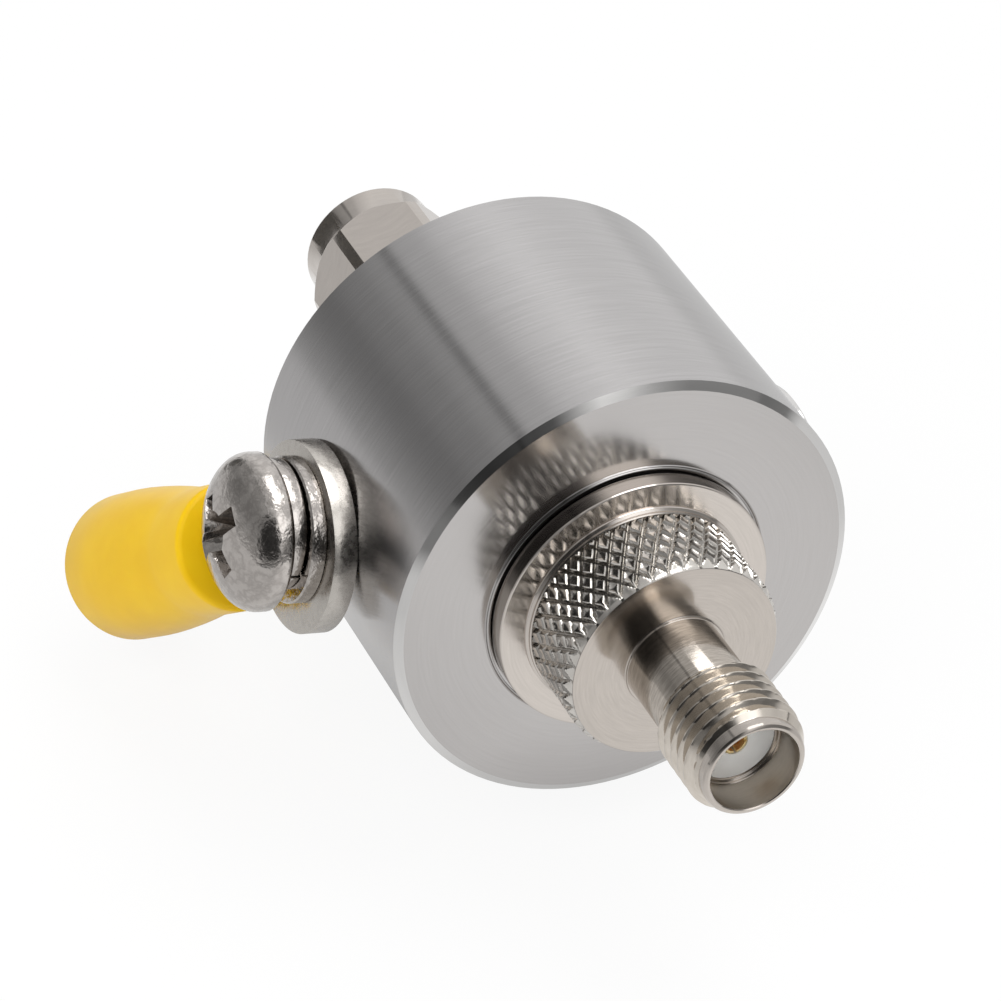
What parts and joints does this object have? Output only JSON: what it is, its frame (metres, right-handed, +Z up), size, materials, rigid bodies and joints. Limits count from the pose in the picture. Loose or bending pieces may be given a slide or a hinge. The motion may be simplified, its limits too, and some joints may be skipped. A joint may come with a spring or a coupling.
{
  "type": "coaxial surge protector",
  "caption": "Round coaxial surge protector with a knurled threaded socket, a coupling nut, a gas tube under a screw cap and an earth screw holding a ring terminal with a flared sleeve.",
  "frame": {"origin": "centre of the coupling nut's mouth, on the line axis", "axes": "+X along the line axis towards the threaded socket, +Z up, +Y to the side where the gas tube cap is"},
  "size_m": [0.0482, 0.0339, 0.0255],
  "materials": {
    "brushed_nickel": "turned and nickel plated, fine brushing",
    "bright_nickel": "bright nickel plate",
    "screw_nickel": "worn nickel plate",
    "tinned_metal": "tinned",
    "gold_plate": "gold plate",
    "spring_bronze": "spring temper",
    "white_dielectric": "turned dielectric",
    "white_ceramic": "fired ceramic",
    "seal_rubber": "moulded",
    "yellow_sleeve": "moulded, smooth"
  },
  "bodies": {
    "barrel": {"barrel_body": "brushed_nickel", "front_insert": "bright_nickel", "rear_insert": "bright_nickel", "front_seal_ring": "seal_rubber", "rear_seal_ring": "seal_rubber", "nut_snap_ring": "spring_bronze", "nut_gasket": "seal_rubber", "front_insulator": "white_dielectric", "rear_insulator": "white_dielectric", "centre_conductor": "gold_plate", "socket_contact": "gold_plate", "plug_pin": "gold_plate", "gas_tube_ceramic": "white_ceramic", "gas_tube_line_electrode": "tinned_metal", "gas_tube_earth_electrode": "tinned_metal", "gas_tube_spring": "spring_bronze", "gas_tube_cap": "bright_nickel", "earth_screw": "screw_nickel", "spring_washer": "screw_nickel", "plain_washer": "screw_nickel", "terminal_lug": "tinned_metal", "terminal_sleeve": "yellow_sleeve"},
    "nut": {"coupling_nut": "bright_nickel"}
  },
  "joints": [
    {"name": "nut_turn", "type": "hinge", "parent": "barrel", "child": "nut", "pos_m": [0.0045, 0, 0], "axis": [1, 0, 0], "continuous": true}
  ]
}
